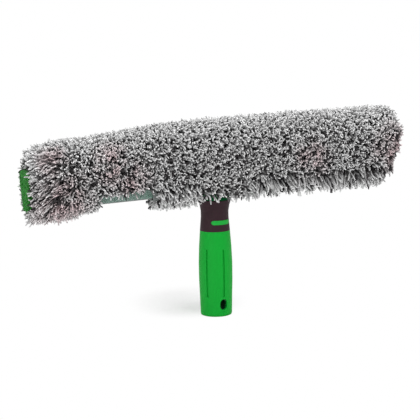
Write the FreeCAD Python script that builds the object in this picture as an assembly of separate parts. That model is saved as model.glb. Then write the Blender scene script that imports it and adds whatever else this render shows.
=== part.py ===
import FreeCAD, Part
import math
import os

from FreeCAD import Vector

# Window scrubber with a fixed T-bar, a two-colour grip and a fleece sleeve, in millimetres.
# The origin is the centre of the handle's open end, +Z runs up the handle and -Y is the front.

# Handle core: the pole socket below and the bar's spigot socket above
socket_diameter = 24.0
socket_floor = 15.6
core_wall = 3.3
spigot_diameter = 18.0
spigot_length = 36.0
spigot_clearance = 0.1
spigot_wall = 4.45
spigot_lead = 1.2
pin_diameter = 4.0
pin_clearance = 0.05
pin_below_collar_top = 16.0

# Soft covers of the handle
grip_length = 98.0
grip_wall = 2.6
joint_wall = 1.8
palm_swell = 1.35
palm_below_joint = 45.0
collar_height = 36.0
collar_wall = 2.2
waist_below_rim = 17.0
waist_curve = 42.0
foot_lean = 0.01
cover_clearance = 0.1
foot_round = 2.4
collar_rim_edge = 0.6
foot_tapers = 2
palm_tapers = 5
waist_tapers = 3

# Lock window for a pole's catch, and the long flutes of the grip
lock_width = 9.0
lock_height = 12.3
lock_centre_height = 14.2
flute_count = 6
flute_below_joint = 47.8
flute_length = 55.0
flute_width = 2.2
flute_depth = 1.3

# Raised inlay on the front of the collar
inlay_width = 22.4
inlay_height = 4.8
inlay_above_joint = 10.5
inlay_proud = 0.5
inlay_depth = 0.9
inlay_clearance = 0.1

# T-bar
bar_length = 450.0
bar_height = 58.0
bar_thickness = 22.0
bar_corner = 6.0
bar_wall = 2.4
least_corner = 0.5
neck_height = 10.0
neck_inset = 0.6
neck_spread = 30.0
neck_gusset = 12.0
neck_seat = 0.2
slot_length = 40.0
slot_height = 26.0
slot_corner = 5.0
slot_pitch = 52.0
slot_free_centre = 42.0
slot_free_end = 10.0
cap_thickness = 3.0
cap_plug_depth = 8.0
cap_plug_wall = 2.0
cap_clearance = 0.15

# Sleeve cloth and the fastener tapes sewn on it
cloth = 1.2
cloth_clearance = 0.6
hem_drop = 0.5
loop_tape_thickness = 1.5
hook_tape_thickness = 1.2
tape_gap = 0.3
tape_margin = 1.0

# Pile of the fleece, measured from the cloth
front_pile = 18.0
top_pile = 21.5
bottom_pile = 13.4
end_pile = 11.0
end_bevel = 8.0

# Closed pocket at one end, and the flaps that close the rest of the underside
mouth_length = 72.0
left_flap_length = 56.0
right_flap_inset = 10.0
neck_clearance = 1.0
lip_height = 12.5
flap_clearance = 0.9
pile_clearance = 0.8
flap_swing = 95.0
flap_swing_spare = 6.0

# Scouring pad on the pocket end
pad_width = 26.0
pad_height = 46.0
pad_thickness = 12.0
pad_corner = 8.0
pad_edge = 1.5
pad_above_bar_foot = 21.0
pad_clearance = 0.4

# Sizes that follow from the ones above
socket_radius = socket_diameter / 2
core_radius = socket_radius + core_wall
spigot_radius = spigot_diameter / 2
core_top_radius = spigot_radius + spigot_wall
foot_radius = core_radius + grip_wall
palm_radius = foot_radius + palm_swell
palm_height = grip_length - palm_below_joint
joint_radius = core_radius + joint_wall
waist_radius = core_top_radius + collar_wall
collar_top_radius = waist_radius + waist_curve - math.sqrt(waist_curve**2 - waist_below_rim**2)
collar_top = grip_length + collar_height
waist_height = collar_top - waist_below_rim
flute_height = grip_length - flute_below_joint
neck_foot = collar_top + neck_seat
spigot_floor = collar_top - spigot_length - neck_seat
spigot_socket_floor = spigot_floor - neck_seat
socket_depth = spigot_socket_floor - socket_floor
pin_height = collar_top - pin_below_collar_top

bar_foot = collar_top + neck_height
bar_top = bar_foot + bar_height
bar_end = bar_length / 2
bar_half = bar_thickness / 2

cloth_inside = bar_half + cloth_clearance
cloth_outside = cloth_inside + cloth
cloth_corner = bar_corner + cloth_clearance
cloth_top_inside = bar_top + cloth_clearance
cloth_top = cloth_top_inside + cloth
panel_inside = bar_end + cloth_clearance
panel_outside = panel_inside + cloth
hem = bar_foot - hem_drop
flap_top = hem - flap_clearance
flap_foot = flap_top - cloth

loop_face = cloth_outside + loop_tape_thickness
hook_face = loop_face + tape_gap
lip_inside = hook_face + hook_tape_thickness
lip_outside = lip_inside + cloth
lip_top = hem + lip_height
front_pile_foot = lip_top + pile_clearance

pile_half = cloth_outside + front_pile
pile_top = cloth_top + top_pile
pile_foot = flap_foot - bottom_pile
pile_end = panel_outside + end_pile
neck_edge = neck_spread + neck_clearance
left_flap_start = -neck_edge - left_flap_length
pocket_mouth = left_flap_start - mouth_length

hinge_y = (cloth_inside + cloth_outside) / 2
hinge_z = (hem + flap_top) / 2
flap_rear = hinge_y - cloth / 2

# Length that reaches clear of the part on either side of a cut
beyond = bar_length + bar_height


def point(y, z):
    return Vector(0, y, z)


def polygon_face(points):
    return Part.Face(Part.makePolygon(points + points[:1]))


def extrude_x(face, start, end):
    solid = face.extrude(Vector(end - start, 0, 0))
    solid.translate(Vector(start, 0, 0))
    return solid


def box(x_range, y_range, z_range):
    size = [high - low for low, high in (x_range, y_range, z_range)]
    return Part.makeBox(*size, Vector(x_range[0], y_range[0], z_range[0]))


def tube_section(half, corner, low, high, round_foot):
    # Closed outline across the bar: straight sides, round top corners and, where asked, round foot corners
    lean = corner * math.sqrt(0.5)
    inner = half - corner
    arcs = [
        Part.Arc(point(half, high - corner), point(inner + lean, high - corner + lean), point(inner, high)),
        Part.Arc(point(-inner, high), point(-inner - lean, high - corner + lean), point(-half, high - corner)),
    ]
    if round_foot:
        arcs += [
            Part.Arc(point(-half, low + corner), point(-inner - lean, low + corner - lean), point(-inner, low)),
            Part.Arc(point(inner, low), point(inner + lean, low + corner - lean), point(half, low + corner)),
        ]
        ends = [point(half, high - corner)]
    else:
        ends = [point(-half, low), point(half, low), point(half, high - corner)]
    edges = []
    previous = None
    for arc in arcs:
        if previous and previous.distanceToPoint(arc.StartPoint) > 1e-6:
            edges.append(Part.LineSegment(previous, arc.StartPoint).toShape())
        edges.append(arc.toShape())
        previous = arc.EndPoint
    for end in ends:
        edges.append(Part.LineSegment(previous, end).toShape())
        previous = end
    return Part.Face(Part.Wire(edges))


def oblong_y(width, height, centre_x, centre_z, y_range):
    # Round-ended prism along Y, lying or standing by which side is longer
    radius = min(width, height) / 2
    reach_x = width / 2 - radius
    reach_z = height / 2 - radius
    depth = y_range[1] - y_range[0]
    start = Vector(centre_x, y_range[0], centre_z)
    reach = Vector(reach_x, 0, reach_z)
    body = box(
        (centre_x - max(reach_x, radius * (reach_z > 0)), centre_x + max(reach_x, radius * (reach_z > 0))),
        y_range,
        (centre_z - max(reach_z, radius * (reach_x > 0)), centre_z + max(reach_z, radius * (reach_x > 0))),
    )
    for side in (-1, 1):
        body = body.fuse(Part.makeCylinder(radius, depth, start + reach * side, Vector(0, 1, 0)))
    return body.removeSplitter()


def arc_at(centre, radius, *angles):
    # Arc in the handle's half section, through three angles from straight outwards
    turns = [math.radians(angle) for angle in angles]
    return Part.Arc(*[centre + Vector(math.cos(turn), 0, math.sin(turn)) * radius for turn in turns])


def handle_form(offset=0.0):
    # The whole handle's outer form: a swollen palm, a straight taper, a hollow waist and a flared rim,
    # with each curve of the half section turned as a run of short tapers
    joint = Vector(joint_radius + offset, 0, grip_length)
    waist_centre = Vector(waist_radius + offset + waist_curve, 0, waist_height)
    to_joint = joint - waist_centre
    joint_angle = math.degrees(math.atan2(to_joint.z, to_joint.x)) % 360
    taper_angle = joint_angle - math.degrees(math.acos(waist_curve / to_joint.Length))
    rim_angle = 180 - math.degrees(math.asin(waist_below_rim / waist_curve))
    waist = arc_at(waist_centre, waist_curve, taper_angle, (taper_angle + rim_angle) / 2, rim_angle)
    foot = arc_at(Vector(foot_radius + offset - foot_round, 0, foot_round), foot_round, -90, -45, 0)
    palm = Part.BSplineCurve()
    palm.interpolate(
        Points=[foot.EndPoint, Vector(palm_radius + offset, 0, palm_height), joint],
        InitialTangent=Vector(foot_lean, 0, 1),
        FinalTangent=(waist.StartPoint - joint).normalize(),
    )
    outline = foot.toShape().discretize(foot_tapers + 1)
    outline += palm.toShape().discretize(palm_tapers + 1)[1:]
    outline += waist.toShape().discretize(waist_tapers + 1)
    outline += [Vector(0, 0, collar_top), Vector(0, 0, 0)]
    return polygon_face(outline).revolve(Vector(0, 0, 0), Vector(0, 0, 1), 360)


def slab(low, high):
    return box((-beyond, beyond), (-beyond, beyond), (low, high))


def upright(radius, low, high):
    return Part.makeCylinder(radius, high - low, Vector(0, 0, low))


def lock_window():
    return oblong_y(lock_width, lock_height, 0, lock_centre_height, (-beyond, 0))


def pin_hole():
    radius = pin_diameter / 2 + pin_clearance
    return Part.makeCylinder(radius, 2 * beyond, Vector(0, -beyond, pin_height), Vector(0, 1, 0))


def handle_core():
    core = upright(core_radius, 0, grip_length)
    core = core.fuse(upright(core_top_radius, 0, collar_top)).removeSplitter()
    core = core.cut(upright(socket_radius, 0, socket_depth))
    core = core.cut(upright(spigot_radius + spigot_clearance, spigot_socket_floor, collar_top))
    return core.cut(lock_window()).cut(pin_hole())


def flutes():
    # Long narrow grooves round the palm, all as deep as each other
    half, reach = flute_width / 2, flute_length / 2
    groove = box((-half, half), (-beyond, 0), (flute_height - reach, flute_height + reach))
    groove = groove.cut(handle_form(-flute_depth))
    cuts = []
    for index in range(flute_count):
        turned = groove.copy()
        turned.rotate(Vector(0, 0, 0), Vector(0, 0, 1), index * 360 / flute_count)
        cuts.append(turned)
    return cuts


def grip_cover():
    cover = handle_form().common(slab(0, grip_length))
    cover = cover.cut(upright(core_radius + cover_clearance, 0, grip_length))
    return cover.cut(flutes() + [lock_window()])


def inlay_blank(clearance):
    width = inlay_width + 2 * clearance
    height = inlay_height + 2 * clearance
    return oblong_y(width, height, 0, grip_length + inlay_above_joint, (-beyond, 0))


def collar_cover():
    collar = handle_form().common(slab(grip_length, collar_top))
    rim = [edge for edge in collar.Edges if edge.BoundBox.ZMin > collar_top - 1e-4]
    collar = collar.makeChamfer(collar_rim_edge, rim)
    collar = collar.cut(upright(core_top_radius + cover_clearance, grip_length, collar_top))
    bed = inlay_blank(inlay_clearance).cut(handle_form(-inlay_depth - inlay_clearance))
    return collar.cut(bed)


def collar_inlay():
    skin = handle_form(inlay_proud).cut(handle_form(-inlay_depth))
    return skin.common(inlay_blank(0))


def neck_pin():
    length = 2 * core_top_radius - 2 * cover_clearance
    start = Vector(0, -length / 2, pin_height)
    return Part.makeCylinder(pin_diameter / 2, length, start, Vector(0, 1, 0))


def bar_section(inset):
    corner = max(bar_corner - inset, least_corner)
    return tube_section(bar_half - inset, corner, bar_foot + inset, bar_top - inset, True)


def slot_places():
    # A row of water slots on each arm, clear of the neck and of the end
    arm = bar_end - cap_thickness - cap_plug_depth - slot_free_end - slot_free_centre
    count = int((arm + slot_pitch - slot_length) // slot_pitch)
    for index in range(count):
        along = slot_free_centre + slot_length / 2 + index * slot_pitch
        yield along
        yield -along


def slot_window(along):
    # Water slot through both walls, with bevelled corners
    centre = Vector(along, -bar_thickness, (bar_foot + bar_top) / 2)
    long_half, high_half = slot_length / 2, slot_height / 2
    corners = []
    for side_x, side_z in ((1, 1), (-1, 1), (-1, -1), (1, -1)):
        beside = centre + Vector(side_x * long_half, 0, side_z * (high_half - slot_corner))
        above = centre + Vector(side_x * (long_half - slot_corner), 0, side_z * high_half)
        corners += [beside, above] if side_x == side_z else [above, beside]
    return polygon_face(corners).extrude(Vector(0, 2 * bar_thickness, 0))


def neck():
    # Round foot on the collar that narrows to the bar, with a gusset that spreads along it
    foot_size = collar_top_radius - neck_inset
    depth = bar_half - neck_inset
    seat = bar_foot + bar_wall / 2
    post = Part.makeCone(foot_size, depth, seat - neck_foot, Vector(0, 0, neck_foot))
    half = neck_gusset / 2
    foot_reach = math.sqrt(foot_size**2 - half**2)
    gusset = polygon_face([
        Vector(-foot_reach, -half, neck_foot),
        Vector(foot_reach, -half, neck_foot),
        Vector(neck_spread, -half, seat),
        Vector(-neck_spread, -half, seat),
    ])
    return post.fuse(gusset.extrude(Vector(0, neck_gusset, 0)))


def t_bar():
    reach = bar_end - cap_thickness
    bar = extrude_x(bar_section(0), -reach, reach)
    hollow = extrude_x(bar_section(bar_wall), -reach, reach)
    bar = bar.cut([hollow] + [slot_window(along) for along in slot_places()])
    spigot = upright(spigot_radius, spigot_floor, bar_foot + bar_wall / 2)
    tip = [edge for edge in spigot.Edges if edge.BoundBox.ZMax < spigot_floor + 1e-4]
    spigot = spigot.makeChamfer(spigot_lead, tip)
    return bar.fuse([neck(), spigot]).removeSplitter().cut(pin_hole())


def bar_end_cap(side):
    plate_start = bar_end - cap_thickness
    plug_start = plate_start - cap_plug_depth
    plug = extrude_x(bar_section(bar_wall + cap_clearance), plug_start, plate_start)
    hollow = bar_wall + cap_clearance + cap_plug_wall
    plug = plug.cut(extrude_x(bar_section(hollow), plug_start, plate_start))
    cap = extrude_x(bar_section(0), plate_start, bar_end).fuse(plug).removeSplitter()
    if side < 0:
        cap.rotate(Vector(0, 0, 0), Vector(0, 0, 1), 180)
    return cap


def cloth_section(low):
    return tube_section(cloth_outside, cloth_corner + cloth, low, cloth_top, False)


def sleeve_backing():
    # Cloth folded over the bar; its foot is open except in the pocket
    outer = extrude_x(cloth_section(flap_foot), -panel_inside, panel_inside)
    hollow = tube_section(cloth_inside, cloth_corner, flap_top, cloth_top_inside, False)
    outer = outer.cut(extrude_x(hollow, -panel_inside, panel_inside))
    return outer.cut(box((pocket_mouth, beyond), (-beyond, beyond), (0, hem)))


def end_panel(side):
    low = flap_foot if side < 0 else hem
    start = -panel_outside if side < 0 else panel_inside
    return extrude_x(cloth_section(low), start, start + cloth)


def pad_block(clearance, thickness):
    half = pad_width / 2 + clearance
    centre = bar_foot + pad_above_bar_foot
    reach = pad_height / 2 + clearance
    section = tube_section(half, pad_corner + clearance, centre - reach, centre + reach, True)
    return extrude_x(section, -panel_outside - thickness, -panel_outside)


def scrub_pad():
    pad = pad_block(0, pad_thickness)
    face_at = -panel_outside - pad_thickness
    rim = [edge for edge in pad.Edges if edge.BoundBox.XMax < face_at + 1e-4]
    return pad.makeChamfer(pad_edge, rim)


def fleece_form():
    # Full outer form of the fleece: flat flanks, round over the top and under the foot, with bevelled ends
    crown = pile_top - pile_half
    belly = pile_foot + pile_half
    wire = Part.Wire([
        Part.Arc(point(pile_half, crown), point(0, pile_top), point(-pile_half, crown)).toShape(),
        Part.makeLine(point(-pile_half, crown), point(-pile_half, belly)),
        Part.Arc(point(-pile_half, belly), point(0, pile_foot), point(pile_half, belly)).toShape(),
        Part.makeLine(point(pile_half, belly), point(pile_half, crown)),
    ])
    body = extrude_x(Part.Face(wire), -pile_end, pile_end)
    rims = [
        edge
        for edge in body.Edges
        if edge.BoundBox.XMin > pile_end - 1e-4 or edge.BoundBox.XMax < -pile_end + 1e-4
    ]
    return body.makeChamfer(end_bevel, rims)


def sleeve_pile():
    pile = fleece_form().cut(extrude_x(cloth_section(flap_foot), -panel_outside, panel_outside))
    beside_flaps = (pocket_mouth, beyond)
    underside = box(beside_flaps, (-beyond, beyond), (0, hem))
    front_foot = box(beside_flaps, (-beyond, -cloth_outside), (0, front_pile_foot))
    return pile.cut([underside, front_foot, pad_block(pad_clearance, pad_thickness)])


def flap_span(side):
    if side < 0:
        return left_flap_start, -neck_edge
    return neck_edge, panel_outside - right_flap_inset


def flap_backing(side):
    start, end = flap_span(side)
    outline = [
        point(-lip_outside, flap_foot),
        point(flap_rear, flap_foot),
        point(flap_rear, flap_top),
        point(-lip_inside, flap_top),
        point(-lip_inside, lip_top),
        point(-lip_outside, lip_top),
    ]
    return extrude_x(polygon_face(outline), start, end)


def flap_pile(side):
    # Fleece under the flap and on its lip, cut back at the hinge so that it can swing to the rear
    start, end = flap_span(side)
    lean = math.radians(flap_swing + flap_swing_spare - 90)
    fall = flap_foot - pile_foot + bottom_pile
    region = [
        point(-beyond, lip_top),
        point(-lip_outside, lip_top),
        point(-lip_outside, flap_foot),
        point(flap_rear, flap_foot),
        point(flap_rear - fall * math.tan(lean), flap_foot - fall),
        point(-beyond, flap_foot - fall),
    ]
    return fleece_form().common(extrude_x(polygon_face(region), start, end))


def tape(span, near, far):
    return box(span, (-far, -near), (hem + tape_margin, lip_top - tape_margin))


def loop_tape():
    return tape((pocket_mouth, panel_outside), cloth_outside, loop_face)


def hook_tape(side):
    start, end = flap_span(side)
    return tape((start + tape_margin, end - tape_margin), hook_face, lip_inside)


parts = {
    "handle_core": handle_core(),
    "grip_cover": grip_cover(),
    "collar_cover": collar_cover(),
    "collar_inlay": collar_inlay(),
    "neck_pin": neck_pin(),
    "t_bar": t_bar(),
    "sleeve_backing": sleeve_backing(),
    "sleeve_pile": sleeve_pile(),
    "scrub_pad": scrub_pad(),
    "loop_tape": loop_tape(),
}
for name, side in (("left", -1), ("right", 1)):
    parts[f"{name}_bar_end_cap"] = bar_end_cap(side)
    parts[f"{name}_end_panel"] = end_panel(side)
    parts[f"{name}_flap_backing"] = flap_backing(side)
    parts[f"{name}_flap_pile"] = flap_pile(side)
    parts[f"{name}_hook_tape"] = hook_tape(side)

os.makedirs("parts", exist_ok=True)
for name, shape in parts.items():
    shape.exportStep(f"parts/{name}.step")
    print(f"{name}: {len(shape.Solids)} solid, {shape.Volume:.0f} mm3, valid {shape.isValid()}")
print(f"flap hinge at y {hinge_y:.2f}, z {hinge_z:.2f}")
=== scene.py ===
import math

import bmesh
import bpy
from mathutils import Matrix, Vector, noise


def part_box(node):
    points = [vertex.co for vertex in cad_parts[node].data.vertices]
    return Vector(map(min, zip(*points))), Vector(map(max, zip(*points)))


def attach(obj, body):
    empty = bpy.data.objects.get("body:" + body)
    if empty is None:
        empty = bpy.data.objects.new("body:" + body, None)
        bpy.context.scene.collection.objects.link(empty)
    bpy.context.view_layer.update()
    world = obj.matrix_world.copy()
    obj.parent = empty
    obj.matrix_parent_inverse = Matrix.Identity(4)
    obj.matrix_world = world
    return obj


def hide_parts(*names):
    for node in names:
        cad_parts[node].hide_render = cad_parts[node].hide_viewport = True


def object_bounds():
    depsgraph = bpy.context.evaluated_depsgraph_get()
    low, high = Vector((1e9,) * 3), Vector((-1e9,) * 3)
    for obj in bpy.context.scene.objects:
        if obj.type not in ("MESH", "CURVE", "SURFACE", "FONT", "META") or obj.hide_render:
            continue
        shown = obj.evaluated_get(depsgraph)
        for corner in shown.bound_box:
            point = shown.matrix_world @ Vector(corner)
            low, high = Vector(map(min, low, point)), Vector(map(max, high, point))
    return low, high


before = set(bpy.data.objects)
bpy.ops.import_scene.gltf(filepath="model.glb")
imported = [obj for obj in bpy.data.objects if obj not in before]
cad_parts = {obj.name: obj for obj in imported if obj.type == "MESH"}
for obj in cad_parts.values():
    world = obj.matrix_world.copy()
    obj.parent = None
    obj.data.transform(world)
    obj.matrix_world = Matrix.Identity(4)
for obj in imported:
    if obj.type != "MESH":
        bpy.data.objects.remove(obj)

cadLow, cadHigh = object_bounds()
scene = bpy.context.scene
scene.view_settings.view_transform = "Standard"
print("frame loaded:", len(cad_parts), "nodes")


# Node trees written as sums

def isVector(value):
    if isinstance(value, Wire):
        return value.socket.type in ("VECTOR", "RGBA")
    return isinstance(value, (tuple, Vector))


class Wire:
    def __init__(self, bench, socket):
        self.bench = bench
        self.socket = socket

    def other(self, name):  # another output of the same node
        return Wire(self.bench, self.socket.node.outputs[name])

    def join(self, operation, first, second):
        if not (isVector(first) or isVector(second)):
            return self.bench.add("ShaderNodeMath", {"operation": operation}, {0: first, 1: second})
        if operation == "MULTIPLY" and isVector(first) != isVector(second):
            vector, factor = (first, second) if isVector(first) else (second, first)
            return self.bench.add("ShaderNodeVectorMath", {"operation": "SCALE"},
                                  {0: vector, "Scale": factor})
        return self.bench.add("ShaderNodeVectorMath", {"operation": operation}, {0: first, 1: second})

    def __add__(self, value):
        return self.join("ADD", self, value)

    def __radd__(self, value):
        return self.join("ADD", value, self)

    def __sub__(self, value):
        return self.join("SUBTRACT", self, value)

    def __rsub__(self, value):
        return self.join("SUBTRACT", value, self)

    def __mul__(self, value):
        return self.join("MULTIPLY", self, value)

    def __rmul__(self, value):
        return self.join("MULTIPLY", value, self)

    def __pow__(self, value):
        return self.join("POWER", self, value)


class Bench:
    def __init__(self, tree):
        self.tree = tree

    def add(self, kind, settings=None, sockets=None, out=0):
        node = self.tree.nodes.new(kind)
        for name, value in (settings or {}).items():
            if name == "stops":
                self.fillRamp(node.color_ramp, value)
            else:
                setattr(node, name, value)
        for name, value in (sockets or {}).items():
            if isinstance(value, Wire):
                self.tree.links.new(value.socket, node.inputs[name])
            else:
                node.inputs[name].default_value = value
        return Wire(self, node.outputs[out]) if len(node.outputs) else None

    def fillRamp(self, ramp, stops):
        while len(ramp.elements) < len(stops):
            ramp.elements.new(0.5)
        for element, (place, shade) in zip(ramp.elements, stops):
            element.position = place
            element.color = (*shade, 1.0) if isinstance(shade, tuple) else (shade, shade, shade, 1.0)

    def mix(self, factor, first, second):  # blend two colours
        return self.add("ShaderNodeMix", {"data_type": "RGBA"}, {0: factor, 6: first, 7: second}, out=2)


# Camera at the photograph's viewing angle

photoView = {
    "imageSize": 420,
    "footPixel": (216.45, 314.2),  # where the centre of the handle's open end falls
    "azimuth": -29.0,
    "elevation": 9.5,
    "roll": 1.06,
    "distance": 3.35,
    "fieldOfView": 8.2,
}


def makeCamera(view):
    turn = math.radians(view["azimuth"])
    tilt = math.radians(view["elevation"])
    roll = math.radians(view["roll"])
    level = Vector((math.cos(turn), math.sin(turn), 0))
    ahead = Vector((-math.sin(turn) * math.cos(tilt), math.cos(turn) * math.cos(tilt), -math.sin(tilt)))
    upright = level.cross(ahead)
    right = level * math.cos(roll) - upright * math.sin(roll)
    up = upright * math.cos(roll) + level * math.sin(roll)
    half = view["imageSize"] / 2
    reach = math.tan(math.radians(view["fieldOfView"] / 2))
    across = (view["footPixel"][0] - half) / half * reach
    down = (view["footPixel"][1] - half) / half * reach
    place = (right * across - up * down + ahead) * -view["distance"]
    data = bpy.data.cameras.new("photoCamera")
    data.angle = math.radians(view["fieldOfView"])
    data.clip_start = 0.1
    data.clip_end = 30
    camera = bpy.data.objects.new("photoCamera", data)
    turned = Matrix((right, up, -ahead)).transposed().to_4x4()
    camera.matrix_world = Matrix.Translation(place) @ turned
    scene.collection.objects.link(camera)
    scene.camera = camera
    return level, ahead


cameraRight, cameraAhead = makeCamera(photoView)
print("camera placed")


# Floor, backdrop and soft studio light

studio = {
    "floorSize": 24.0,
    "floorColour": (0.60, 0.60, 0.60, 1),
    "bounceColour": (0.88, 0.88, 0.88, 1),  # for the light that the floor gives back to the object
    "shadowPlace": (-0.036, 0.080),  # centre of the floor's lit patch, rightwards and away from the camera
    "shadowSize": (0.080, 0.115),  # the floor is plain white outside
    "nearShare": 0.15,  # share of plain white at the patch's centre
    "worldLight": 0.41,
    "lamps": {  # right, towards the camera and up from the foot, size, watts
        "keyLamp": (0.6, 1.35, 1.6, 0.6, 10.0),
        "fillLamp": (-0.9, 1.5, 0.3, 0.5, 4.5),
        "topLamp": (0.1, -0.35, 2.2, 2.4, 66.0),
    },
}


def seenDirectly(bench):
    # Rays that show the backdrop itself, straight from the camera or mirrored in the object
    path = bench.add("ShaderNodeLightPath")
    seen = path.other("Is Camera Ray") + path.other("Is Glossy Ray") + path.other("Is Transmission Ray")
    return bench.add("ShaderNodeMath", {"operation": "MINIMUM"}, {0: seen, 1: 1.0})


def makeFloor():
    side = studio["floorSize"] / 2
    mesh = bpy.data.meshes.new("floor")
    corners = [(-side, -side, 0), (side, -side, 0), (side, side, 0), (-side, side, 0)]
    mesh.from_pydata(corners, [], [(0, 1, 2, 3)])
    floor = bpy.data.objects.new("floor", mesh)
    scene.collection.objects.link(floor)
    material = bpy.data.materials.new("paleFloor")
    material.use_nodes = True
    material.node_tree.nodes.clear()
    bench = Bench(material.node_tree)
    seen = seenDirectly(bench)
    colour = bench.mix(seen, studio["bounceColour"], studio["floorColour"])
    lit = bench.add("ShaderNodeBsdfDiffuse", None, {"Color": colour})
    white = bench.add("ShaderNodeEmission", None, {"Strength": 1.0})
    place = bench.add("ShaderNodeTexCoord", None, None, "Object")
    level = Vector((cameraAhead.x, cameraAhead.y, 0)).normalized()
    across, behind = studio["shadowPlace"]
    place = bench.add("ShaderNodeMapping", {"vector_type": "TEXTURE"}, {
        "Vector": place,
        "Location": cameraRight * across + level * behind,
        "Rotation": (0, 0, math.radians(photoView["azimuth"])),
        "Scale": (*studio["shadowSize"], 1),
    })
    away = bench.add("ShaderNodeVectorMath", {"operation": "LENGTH"}, {0: place}, "Value")
    fade = bench.add("ShaderNodeMapRange", {"interpolation_type": "SMOOTHERSTEP"}, {
        "Value": away, "From Min": 0.2, "From Max": 1.0, "To Min": studio["nearShare"], "To Max": 1.0,
    })
    surface = bench.add("ShaderNodeMixShader", None, {0: seen * fade, 1: lit, 2: white})
    bench.add("ShaderNodeOutputMaterial", None, {"Surface": surface})
    mesh.materials.append(material)


def makeWorld():
    world = bpy.data.worlds.new("studio")
    scene.world = world
    world.use_nodes = True
    world.node_tree.nodes.clear()
    bench = Bench(world.node_tree)
    level = studio["worldLight"]
    strength = level + (1 - level) * seenDirectly(bench)
    light = bench.add("ShaderNodeBackground", None, {"Color": (1, 1, 1, 1), "Strength": strength})
    bench.add("ShaderNodeOutputWorld", None, {"Surface": light})


def makeLamps():
    level = Vector((cameraAhead.x, cameraAhead.y, 0)).normalized()
    aim = Vector((0, 0, (cadLow.z + cadHigh.z) / 2))
    for name, (right, near, up, size, watts) in studio["lamps"].items():
        data = bpy.data.lights.new(name, "AREA")
        data.shape = "DISK"
        data.size = size
        data.energy = watts
        lamp = bpy.data.objects.new(name, data)
        lamp.location = cameraRight * right - level * near + Vector((0, 0, up))
        lamp.rotation_euler = (aim - lamp.location).to_track_quat("-Z", "Y").to_euler()
        scene.collection.objects.link(lamp)


makeFloor()
makeWorld()
makeLamps()
print("studio lit")


# Finishes

def newFinish(name):
    material = bpy.data.materials.new(name)
    material.use_nodes = True
    material.node_tree.nodes.clear()
    return material, Bench(material.node_tree)


def finishSurface(bench, sockets):
    surface = bench.add("ShaderNodeBsdfPrincipled", None, sockets)
    bench.add("ShaderNodeOutputMaterial", None, {"Surface": surface})


def speckle(bench, scale, detail=2.0, stretch=(1, 1, 1)):
    # Noise over the piece, from 0 to 1
    place = bench.add("ShaderNodeTexCoord", None, None, "Object")
    place = bench.add("ShaderNodeMapping", None, {"Vector": place, "Scale": stretch})
    return bench.add("ShaderNodeTexNoise", None, {"Vector": place, "Scale": scale, "Detail": detail})


def bump(bench, height, distance, strength=1.0):
    return bench.add("ShaderNodeBump", None, {"Height": height, "Distance": distance, "Strength": strength})


mouldings = {  # finish, colour, colour of paler patches, roughness, specular level, grain height in metres
    "grip_cover": ("softGripGreen", (0.0015, 0.345, 0.026), (0.003, 0.375, 0.034), 0.55, 0.14, 0.00005),
    "collar_cover": ("softCollarDark", (0.028, 0.0125, 0.0165), (0.036, 0.017, 0.022), 0.6, 0.14, 0.00006),
    "collar_inlay": ("inlayGreen", (0.004, 0.36, 0.034), (0.008, 0.39, 0.044), 0.45, 0.2, 0.00002),
    "handle_core": ("coreGreen", (0.001, 0.065, 0.016), (0.002, 0.085, 0.022), 0.45, 0.3, 0.00002),
    # the bar's dark green is partly painted shade, as the bar shows only in shade under the sleeve
    "t_bar": ("barGreen", (0.001, 0.125, 0.032), (0.002, 0.15, 0.042), 0.3, 0.5, 0.00002),
    "left_bar_end_cap": ("leftCapGreen", (0.001, 0.10, 0.028), (0.002, 0.12, 0.036), 0.35, 0.5, 0.00002),
    "right_bar_end_cap": ("rightCapGreen", (0.001, 0.10, 0.028), (0.002, 0.12, 0.036), 0.35, 0.5, 0.00002),
}


def mouldedFinish(name, colour, paler, roughness, gloss, grain):
    material, bench = newFinish(name)
    cloud = speckle(bench, 22.0)
    rub = speckle(bench, 140.0, 4.0)
    pebble = speckle(bench, 2600.0, 1.0)
    finishSurface(bench, {
        "Base Color": bench.mix(cloud, (*colour, 1), (*paler, 1)),
        "Roughness": roughness - 0.06 + 0.12 * rub,
        "Specular IOR Level": gloss,
        "Normal": bump(bench, pebble, grain),
    })
    return material


for node, finish in mouldings.items():
    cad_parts[node].data.materials[0] = mouldedFinish(*finish)


def steelFinish():
    material, bench = newFinish("pinSteel")
    turned = speckle(bench, 900.0, 2.0, (1, 0.04, 1))
    finishSurface(bench, {
        "Base Color": (0.56, 0.55, 0.53, 1),
        "Metallic": 1.0,
        "Roughness": 0.24 + 0.14 * turned,
        "Normal": bump(bench, turned, 0.00002),
    })
    return material


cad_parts["neck_pin"].data.materials[0] = steelFinish()


def nearSpots(bench, spots):
    # 1 at the middle of each spot, falling to 0 at its radius
    place = bench.add("ShaderNodeTexCoord", None, None, "Object")
    share = None
    for spot, radius in spots:
        away = bench.add("ShaderNodeVectorMath", {"operation": "DISTANCE"}, {0: place, 1: spot}, "Value")
        fall = bench.add("ShaderNodeMapRange", {"interpolation_type": "SMOOTHSTEP"}, {
            "Value": away, "From Min": 0.0, "From Max": radius, "To Min": 1.0, "To Max": 0.0,
        })
        if share is None:
            share = fall
        else:
            share = bench.add("ShaderNodeMath", {"operation": "MAXIMUM"}, {0: share, 1: fall})
    return share


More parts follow.
